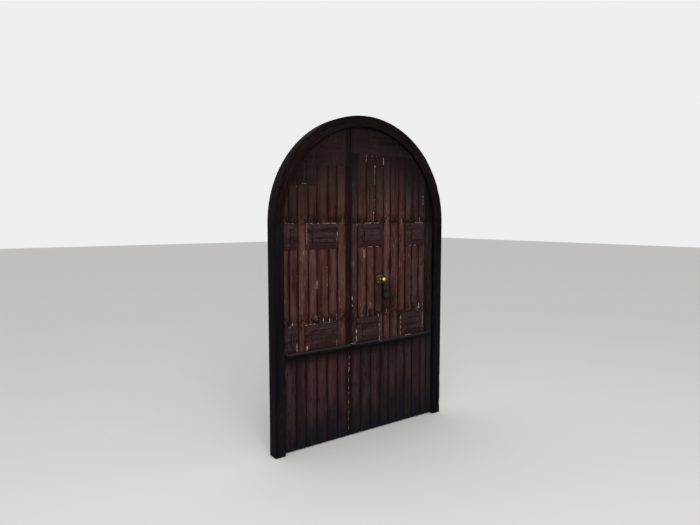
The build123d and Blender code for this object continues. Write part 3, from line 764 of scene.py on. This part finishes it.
def wear_block(made):
    """Soften a block's faces and chip its outer edge, without moving its back."""
    for vertex in made.data.vertices:
        place = vertex.co.copy()
        if place.y > face_y - 0.0005:
            continue
        vertex.co.y += block_waves * noise.noise(place * 34) + block_ripples * noise.noise(place * 90)
        vertex.co.y += block_chips * max(0.0, noise.noise(Vector((place.x * 16, 2.2, place.z * 16))) - 0.42)
        vertex.co.y = min(vertex.co.y, face_y)


blocks = [f"{side}_{row}" for side in ("inner", "outer") for row in ("upper", "lower")]
for seed, (leaf, block) in enumerate((leaf, block) for leaf in ("left", "right") for block in blocks):
    source = f"{leaf}_{block}_block"
    body = f"{leaf}_leaf"
    cuts = cuts_across(source, 2, block_cut) + cuts_across(source, 0, block_cut)
    raised = cut_copy(f"{source}_worn", source, cuts)
    wear_block(raised)
    finish_copy(raised, source, body, block_material(source, seed * 2.3 + 0.7))
    worn[body].append(raised)

# The weather bar
# A level moulding of softwood under the upper boards of each leaf. Dust lies along its sloping top, and its
# face below is dark. Its painted shadow darkens the lower boards under it.
bar_stain = (0.0075, 0.0050, 0.0058)
bar_grey = (0.0140, 0.0105, 0.0118)
bar_deep = (0.0028, 0.0019, 0.0022)
bar_dust = (0.036, 0.0285, 0.0300)
bar_cut = 0.02
bar_dents = 0.0016
bar_sag = 0.0014


def wear_bar(made):
    """Dent the bar's nose and let its slope run uneven, without moving its back or its foot."""
    for vertex in made.data.vertices:
        if vertex.co.y < face_y - 0.001:
            vertex.co.y += bar_dents * max(-0.3, noise.noise(Vector((vertex.co.x * 14, 1.1, vertex.co.z * 30))))
            vertex.co.z -= bar_sag * max(0.0, noise.noise(Vector((vertex.co.x * 11, 6.3, vertex.co.y * 20))))


for seed, leaf in enumerate(("left", "right")):
    source = f"{leaf}_weather_bar"
    bar = cut_copy(f"{source}_worn", source, cuts_across(source, 0, bar_cut)[1:])
    wear_bar(bar)
    finish = wood_material(
        f"{source}_wood", bar_stain, bar_grey, bar_deep, 0.45, level_grain, seed + 21.5, 1.0, bar_dust
    )[0]
    finish_copy(bar, source, f"{leaf}_leaf", finish)
    worn[f"{leaf}_leaf"].append(bar)

# The flakes
# Slivers of bare pale wood along the edges of boards, blocks and bars, where the stain has flaked
# off. Each is a thin uneven strip that follows the worn faces under it.
flake_lift = 0.0003
flake_step = 0.004
flake_taper = 0.03
flake_wander = 0.0012
flake_thickness = 0.0005
flake_dullness = 0.85
flake_bright = (0.50, 0.395, 0.35)
flake_dull = (0.270, 0.195, 0.170)

# Each row: start x and z, end x and z, width, share that is left, in metres.
bright_flakes = {
    "right_leaf": (
        (0.091, 1.840, 0.091, 1.924, 0.0062, 1.0), (0.091, 1.785, 0.091, 1.835, 0.0042, 1.0),
        (0.091, 1.571, 0.091, 1.700, 0.0038, 0.8), (0.080, 1.530, 0.080, 1.600, 0.0036, 0.8),
        (0.172, 1.930, 0.172, 1.980, 0.0055, 1.0), (0.5575, 0.707, 0.5565, 0.833, 0.006, 1.0),
        (0.515, 0.838, 0.514, 0.876, 0.0075, 1.0), (0.526, 0.850, 0.526, 0.900, 0.006, 1.0),
        (0.345, 0.671, 0.343, 0.839, 0.005, 0.55), (0.133, 0.654, 0.133, 0.691, 0.007, 1.0),
        (0.133, 0.692, 0.132, 0.838, 0.004, 0.7), (0.1263, 0.836, 0.1262, 0.857, 0.0075, 1.0),
        (-0.074, 0.734, -0.074, 0.764, 0.008, 1.0), (-0.074, 0.674, -0.074, 0.720, 0.005, 1.0),
        (-0.107, 0.976, -0.107, 1.005, 0.007, 1.0), (-0.107, 0.931, -0.107, 0.945, 0.008, 1.0),
        (-0.0045, 1.268, -0.0045, 1.324, 0.0055, 1.0), (-0.065, 1.491, -0.065, 1.508, 0.0065, 1.0),
        (0.526, 1.520, 0.5255, 1.566, 0.0045, 0.8), (0.000, 1.515, 0.062, 1.515, 0.005, 0.85),
        (0.080, 1.515, 0.130, 1.515, 0.005, 0.85), (0.476, 1.515, 0.559, 1.515, 0.005, 0.85),
        (0.025, 1.345, 0.068, 1.345, 0.005, 1.0), (0.094, 1.345, 0.122, 1.345, 0.005, 1.0),
        (0.415, 1.345, 0.440, 1.345, 0.005, 1.0), (0.460, 1.345, 0.485, 1.345, 0.005, 1.0),
        (-0.118, 0.6675, -0.075, 0.6675, 0.004, 0.8), (0.385, 0.667, 0.450, 0.667, 0.0045, 0.9),
    ),
    "left_leaf": (
        (-0.2375, 1.400, -0.2375, 1.457, 0.006, 1.0), (-0.239, 0.850, -0.239, 0.900, 0.007, 1.0),
        (-0.398, 0.856, -0.398, 0.894, 0.005, 1.0), (-0.350, 0.850, -0.350, 0.875, 0.0055, 1.0),
        (-0.299, 0.846, -0.299, 0.867, 0.0075, 1.0), (-0.590, 0.846, -0.590, 0.868, 0.006, 1.0),
        (-0.560, 0.668, -0.5595, 0.729, 0.0085, 1.0), (-0.483, 0.667, -0.483, 0.705, 0.011, 1.0),
        (-0.242, 0.669, -0.242, 0.718, 0.0045, 1.0), (-0.396, 1.077, -0.396, 1.137, 0.0055, 1.0),
        (-0.130, 0.555, -0.127, 0.580, 0.0045, 1.0), (-0.139, 0.467, -0.1335, 0.500, 0.005, 1.0),
        (-0.452, 1.515, -0.440, 1.515, 0.007, 1.0), (-0.330, 1.515, -0.300, 1.515, 0.006, 1.0),
        (-0.285, 1.515, -0.250, 1.515, 0.006, 0.9),
    ),
}
dull_flakes = {
    "right_leaf": (
        (0.091, 1.700, 0.091, 1.785, 0.004, 0.7), (0.018, 1.940, 0.018, 2.000, 0.005, 0.9),
        (0.560, 1.649, 0.560, 1.725, 0.005, 0.9), (0.3716, 1.237, 0.3716, 1.297, 0.004, 0.7),
        (0.557, 1.151, 0.557, 1.198, 0.004, 0.9), (-0.070, 0.733, -0.070, 0.741, 0.006, 1.0),
        (0.065, 1.980, 0.065, 1.990, 0.006, 1.0), (0.105, 1.980, 0.105, 1.990, 0.006, 1.0),
        (0.440, 1.985, 0.440, 1.991, 0.006, 1.0), (0.566, 0.844, 0.566, 0.905, 0.0035, 0.8),
    ),
    "left_leaf": (
        (-0.481, 1.377, -0.480, 1.519, 0.0045, 1.0), (-0.316, 1.091, -0.3155, 1.243, 0.0042, 0.8),
        (-0.5495, 1.141, -0.549, 1.200, 0.0038, 0.6), (-0.137, 0.500, -0.130, 0.555, 0.004, 0.8),
        (-0.1405, 0.047, -0.139, 0.467, 0.0036, 0.4), (-0.640, 1.515, -0.560, 1.515, 0.005, 0.5),
        (-0.512, 1.772, -0.474, 1.772, 0.0055, 0.9), (-0.549, 1.748, -0.549, 1.758, 0.007, 1.0),
        (-0.480, 1.515, -0.330, 1.515, 0.0045, 0.4), (-0.624, 0.843, -0.602, 0.843, 0.006, 1.0),
        (-0.496, 0.843, -0.390, 0.843, 0.006, 0.8), (-0.355, 0.843, -0.257, 0.843, 0.005, 0.7),
    ),
}


def front_at(body, x, z):
    """The y of the foremost worn face of a leaf at a place on its front, or None beside it."""
    hits = [piece.ray_cast(Vector((x, -0.3, z)), Vector((0, 1, 0))) for piece in worn[body]]
    fronts = [where.y for hit, where, facing, index in hits if hit]
    return min(fronts) if fronts else None


def sliver(start, end, width, body):
    """One uneven strip of bare wood laid on a leaf, widest near its middle."""
    line = Vector((end[0] - start[0], 0, end[1] - start[1]))
    across = Vector((0, 1, 0)).cross(line.normalized())
    rows = max(3, round(line.length / flake_step))
    bpy.ops.mesh.primitive_grid_add(x_subdivisions=2, y_subdivisions=rows, size=1)
    made = bpy.context.object
    for vertex in made.data.vertices:
        run_out = vertex.co.y + 0.5
        middle = Vector((start[0], 0, start[1])) + line * run_out
        ragged = 0.75 + 0.9 * noise.noise(middle * 140 + Vector((0, vertex.co.x * 3, 0)))
        wander = across * flake_wander * noise.noise(middle * 60)
        from_end = min(run_out, 1 - run_out)
        taper = min(1.0, 0.25 + 5 * from_end * line.length / flake_taper)
        place = middle + wander + across * (vertex.co.x * width * max(0.25, ragged) * taper)
        front = front_at(body, place.x, place.z)
        vertex.co = Vector((place.x, (face_y if front is None else front) - flake_lift, place.z))
    return made


def broken_line(start, end, share, dice):
    """The pieces that are left of a line of flaking, as (start, end)."""
    if share >= 1:
        return [(start, end)]
    first, last = Vector(start), Vector(end)
    length = (last - first).length
    pieces = []
    at = 0.0
    while at < length:
        piece = dice.uniform(0.008, 0.030)
        if at + piece * 0.7 < length:
            ends = (at / length, min(1, (at + piece) / length))
            pieces.append(tuple(tuple(first.lerp(last, share_of_line)) for share_of_line in ends))
        at += piece / share + 0.002
    return pieces


def flake_set(name, body, rows, colour):
    """All the slivers of one brightness on one leaf, as one object with a little thickness."""
    dice = random.Random(name)
    strips = []
    for start_x, start_z, end_x, end_z, width, share in rows:
        for first, last in broken_line((start_x, start_z), (end_x, end_z), share, dice):
            strips.append(sliver(first, last, width * dice.uniform(0.8, 1.1), body))
    bpy.ops.object.select_all(action="DESELECT")
    for strip in strips:
        strip.select_set(True)
    bpy.context.view_layer.objects.active = strips[0]
    bpy.ops.object.join()
    made = bpy.context.object
    made.name = name
    bpy.ops.object.modifier_add(type="SOLIDIFY")
    made.modifiers[0].thickness = flake_thickness
    made.modifiers[0].offset = -1
    bpy.ops.object.modifier_apply(modifier=made.modifiers[0].name)
    bare, tree, shader = empty_material(f"{name}_wood")
    spots = between(stretched_noise(coordinates(tree), 1, 260, 4), 0.36, 0.62)
    darker = tuple(value * 0.45 for value in colour)
    shade(shader, blend(spots, darker, colour), flake_dullness)
    feed(wood_gloss, shader.inputs["Specular IOR Level"])
    made.data.materials.append(bare)
    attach(made, body)


for body in ("left_leaf", "right_leaf"):
    flake_set(f"{body}_bright_flakes", body, bright_flakes[body], flake_bright)
    flake_set(f"{body}_dull_flakes", body, dull_flakes[body], flake_dull)

# Hinges, bolts and keepers
# Straps, pintles, slide bolts and their keepers of wrought iron, blackened and rusting a little
# where the hands and the weather reach them.
iron_black = (0.022, 0.020, 0.019)
iron_rust = (0.060, 0.026, 0.014)
iron_worn = (0.16, 0.15, 0.14)
iron_bump = 0.5
iron_relief = 0.0004
plain_gloss = 0.5

rusty_iron, rusty_in, rusty_out = group(
    "Rusty iron",
    {"Place": None, "Black": iron_black, "Rust": iron_rust, "Amount": 0.5},
    {"Colour": black, "Dullness": 0.0, "Relief": 0.0},
)
rust_patches = stretched_noise(rusty_in["Place"], 1, 24, 7, 0.7)
rust_grains = stretched_noise(rusty_in["Place"], 1, 620, 3)
rust_limit = minus(0.80, times(rusty_in["Amount"], 0.5))
rust_share = between(plus(rust_patches, times(rust_grains, 0.12)), rust_limit, plus(rust_limit, 0.22))
feed(blend(rust_share, rusty_in["Black"], rusty_in["Rust"]), rusty_out["Colour"])
feed(plus(0.48, times(rust_share, 0.35)), rusty_out["Dullness"])
feed(plus(rust_patches, times(rust_grains, 0.5)), rusty_out["Relief"])


def iron_material(name, black, rust, amount, metal, gloss=plain_gloss):
    """Iron with patches of rust."""
    made, tree, shader = empty_material(name)
    look = {"Place": coordinates(tree), "Black": black, "Rust": rust, "Amount": amount}
    iron = placed(tree, rusty_iron, look)
    shade(shader, iron["Colour"], iron["Dullness"], iron["Relief"], iron_bump, iron_relief)
    feed(metal, shader.inputs["Metallic"])
    feed(gloss, shader.inputs["Specular IOR Level"])
    return made


black_iron = iron_material("blackened_iron", iron_black, iron_rust, 0.55, 0.6)
rubbed_iron = iron_material("rubbed_iron", iron_worn, iron_rust, 0.35, 0.85)
for name in (
    "left_pintles", "right_pintles", "left_strap_hinges", "right_strap_hinges",
    "left_bolt_plates", "cross_bolt_plate", "cross_bolt_keeper", "top_bolt_keeper",
):
    dress(name, black_iron)
for name in ("cross_bolt", "top_bolt", "bottom_bolt"):
    dress(name, rubbed_iron)

# The nails
# Iron nails with flat heads through the boards into every rail behind them, two across a wide board.
# They have rusted as dark as the stain.
nail_radius = 0.0034
nail_height = 0.0012
nail_bevel = 0.0004
nail_sunk = 0.0003
nail_rust = (0.009, 0.0055, 0.0045)
nail_red = (0.014, 0.0075, 0.0055)
nail_gloss = 0.1
lower_nail_rows = (0.075, 0.610)
upper_nail_rows = (0.715, 1.425)
top_nail_row = 0.028
lock_nail_row = 1.108
wide_board = 0.055


def disc(sides, radius, height):
    """A flat round head that faces along Y. It is left in edit mode with everything selected."""
    upright = (math.radians(90), 0, 0)
    bpy.ops.mesh.primitive_cylinder_add(vertices=sides, radius=radius, depth=height, rotation=upright)
    bpy.ops.object.transform_apply(location=False, rotation=True, scale=False)
    bpy.ops.object.mode_set(mode="EDIT")
    bpy.ops.mesh.select_all(action="SELECT")
    return bpy.context.object


def set_out(model, name, places, body, finish):
    """Copies of a small piece, each with its own mesh, joined. Each place is (place, turn, spin)."""
    bpy.ops.object.select_all(action="DESELECT")
    for place, turn, spin in places:
        made = bpy.data.objects.new(name, model.data.copy())
        turned = Matrix.Rotation(turn, 4, "Z") @ Matrix.Rotation(spin, 4, "Y")
        made.data.transform(Matrix.Translation(place) @ turned)
        bpy.context.scene.collection.objects.link(made)
        made.select_set(True)
        bpy.context.view_layer.objects.active = made
    bpy.ops.object.join()
    made = bpy.context.object
    made.name = name
    made.data.materials.append(finish)
    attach(made, body)


nail = disc(10, nail_radius, nail_height)
bpy.ops.mesh.bevel(offset=nail_bevel, segments=1)
bpy.ops.object.mode_set(mode="OBJECT")
nail_iron = iron_material("nail_iron", nail_rust, nail_red, 0.5, 0.0, nail_gloss)
for body in ("left_leaf", "right_leaf"):
    places = []
    for left, right, low, high in board_spans[body]:
        rows = list(lower_nail_rows)
        if high > 0.7:
            rows = [*upper_nail_rows, high - top_nail_row] + ([lock_nail_row] if body == "right_leaf" else [])
        shares = (0.27, 0.73) if right - left > wide_board else (0.5,)
        for row in rows:
            for share in shares:
                x = left + (right - left) * share + 0.002 * noise.noise(Vector((left * 40, row * 9, share)))
                z = row + 0.004 * noise.noise(Vector((left * 31, row * 7, share * 5)))
                front = front_at(body, x, z) if z < high - 0.01 else None
                if front is not None and abs(front - face_y) < 0.003:
                    places.append((Vector((x, front - nail_height / 2 + nail_sunk, z)), 0.0, 0.0))
    set_out(nail, f"{body}_nails", places, body, nail_iron)
bpy.data.objects.remove(nail)

# The screws
# Slotted iron screws that hold the straps, the pintles' plates and the bolts' plates on the inner
# side. Their slots stand at every angle, as they were driven by hand.
screw_radius = 0.0050
screw_height = 0.0022
screw_sunk = 0.0004
slot_half_width = 0.0006
slot_depth = 0.0011
strap_heights = (0.128, 0.656, 1.425)
strap_level = 0.049
plate_level = 0.047
hinge_x = 0.688
pintle_x = 0.704
cross_plate_middle = (-0.0415, 1.108)
upright_plate_x = -0.167
plate_half = 0.070
plate_ways = (-0.062, -0.02, 0.02, 0.062)
plate_sides = (-0.0115, 0.0115)

screw = disc(20, screw_radius, screw_height)
for side in (-1, 1):
    bpy.ops.mesh.select_all(action="SELECT")
    bpy.ops.mesh.bisect(plane_co=(side * slot_half_width, 0, 0), plane_no=(1, 0, 0))
bpy.ops.mesh.select_all(action="DESELECT")
bpy.ops.object.mode_set(mode="OBJECT")
for side in screw.data.polygons:
    side.select = side.normal.y < -0.9 and abs(side.center.x) < slot_half_width * 0.9
bpy.ops.object.mode_set(mode="EDIT")
bpy.ops.mesh.extrude_region_move(TRANSFORM_OT_translate={"value": (0, slot_depth, 0)})
bpy.ops.object.mode_set(mode="OBJECT")


def screw_on(name, source, body, spots, level):
    """Set screws on a CAD node's inner face, only where that face lies at this depth."""
    places = []
    for x, z in spots:
        hit, where, facing, index = nodes[source].ray_cast(Vector((x, 0.3, z)), Vector((0, -1, 0)))
        if hit and abs(where.y - level) < 0.0005:
            spin = 1.5 * noise.noise(Vector((x * 90, z * 70, 2.2)))
            places.append((Vector((x, where.y + screw_height / 2 - screw_sunk, z)), math.pi, spin))
    set_out(screw, name, places, body, black_iron)


for leaf, side, reaches in (("left", -1, (0.085, 0.19, 0.30)), ("right", 1, (0.085, 0.22, 0.36, 0.50))):
    spots = [(side * (hinge_x - reach), height) for reach in reaches for height in strap_heights]
    screw_on(f"{leaf}_strap_screws", f"{leaf}_strap_hinges", f"{leaf}_leaf", spots, strap_level)
    places = [(height, dx, dz) for height in strap_heights for dx in (-0.015, 0.015) for dz in (-0.050, -0.086)]
    spots = [(side * pintle_x + dx, height + dz) for height, dx, dz in places]
    screw_on(f"{leaf}_pintle_screws", f"{leaf}_pintles", "frame", spots, plate_level)
middle_x, middle_z = cross_plate_middle
spots = [(middle_x + dx, middle_z + dz) for dx in plate_ways for dz in plate_sides]
screw_on("cross_plate_screws", "cross_bolt_plate", "right_leaf", spots, plate_level)
plate_low, plate_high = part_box("left_bolt_plates")
middles = (plate_low.z + plate_half, plate_high.z - plate_half)
spots = [(upright_plate_x + dx, middle + dz) for middle in middles for dx in plate_sides for dz in plate_ways]
screw_on("left_plate_screws", "left_bolt_plates", "left_leaf", spots, plate_level)
bpy.data.objects.remove(screw)

# The knob, the staple and the padlock
# A turned brass knob on a dished rose, brown in patches; the knob has a painted highlight on its front left
# side and is brown on its other sides.
# Below it a bent wire staple holds a small padlock of dull grey iron, with a painted highlight on the middle of
# its body.
rose_bright = (0.55, 0.37, 0.17)
knob_bright = (0.50, 0.385, 0.25)
brass_brown = (0.090, 0.048, 0.019)
highlight_side = (-0.50, -0.82, 0.28)
padlock_dark = (0.0062, 0.0056, 0.0054)
padlock_highlight = (0.0145, 0.0150, 0.0120)
padlock_rust = (0.0130, 0.0070, 0.0052)
padlock_gloss = 0.12
padlock_middle = (0.187, -0.0355, 0.995)
shackle_black = (0.020, 0.019, 0.018)


def brass_material(name, bright, brown_from, brown_to, highlight_share):
    """Brass, brown in patches, with a painted highlight: bright on the side that looks along highlight_side,
    brown on the others by this share.
    """
    made, tree, shader = empty_material(name)
    tarnish = between(stretched_noise(coordinates(tree), 1, 48, 6, 0.65), brown_from, brown_to)
    towards_highlight = vectors("DOT_PRODUCT", coordinates(tree, "Normal"), highlight_side)
    brown = maths("MAXIMUM", tarnish, times(between(towards_highlight, 0.97, 0.78), highlight_share))
    shade(shader, blend(brown, bright, brass_brown), plus(0.24, times(brown, 0.30)))
    feed(1.0, shader.inputs["Metallic"])
    return made


dress("knob_rose", brass_material("rose_brass", rose_bright, 0.28, 0.50, 0.0))
dress("door_knob", brass_material("knob_brass", knob_bright, 0.58, 0.76, 0.9))

padlock_iron, tree, shader = empty_material("padlock_iron")
place = coordinates(tree)
iron = placed(tree, rusty_iron, {"Place": place, "Black": padlock_dark, "Rust": padlock_rust, "Amount": 0.5})
# Painted highlight on the middle of the padlock's body.
painted_highlight = between(vectors("DISTANCE", place, padlock_middle), 0.026, 0.010)
shade(shader, blend(painted_highlight, iron["Colour"], padlock_highlight), iron["Dullness"])
feed(padlock_gloss, shader.inputs["Specular IOR Level"])
dress("padlock_body", padlock_iron)
dress("padlock_shackle", iron_material("shackle_iron", shackle_black, padlock_rust, 0.5, 0.3))
dress("padlock_staple", black_iron)
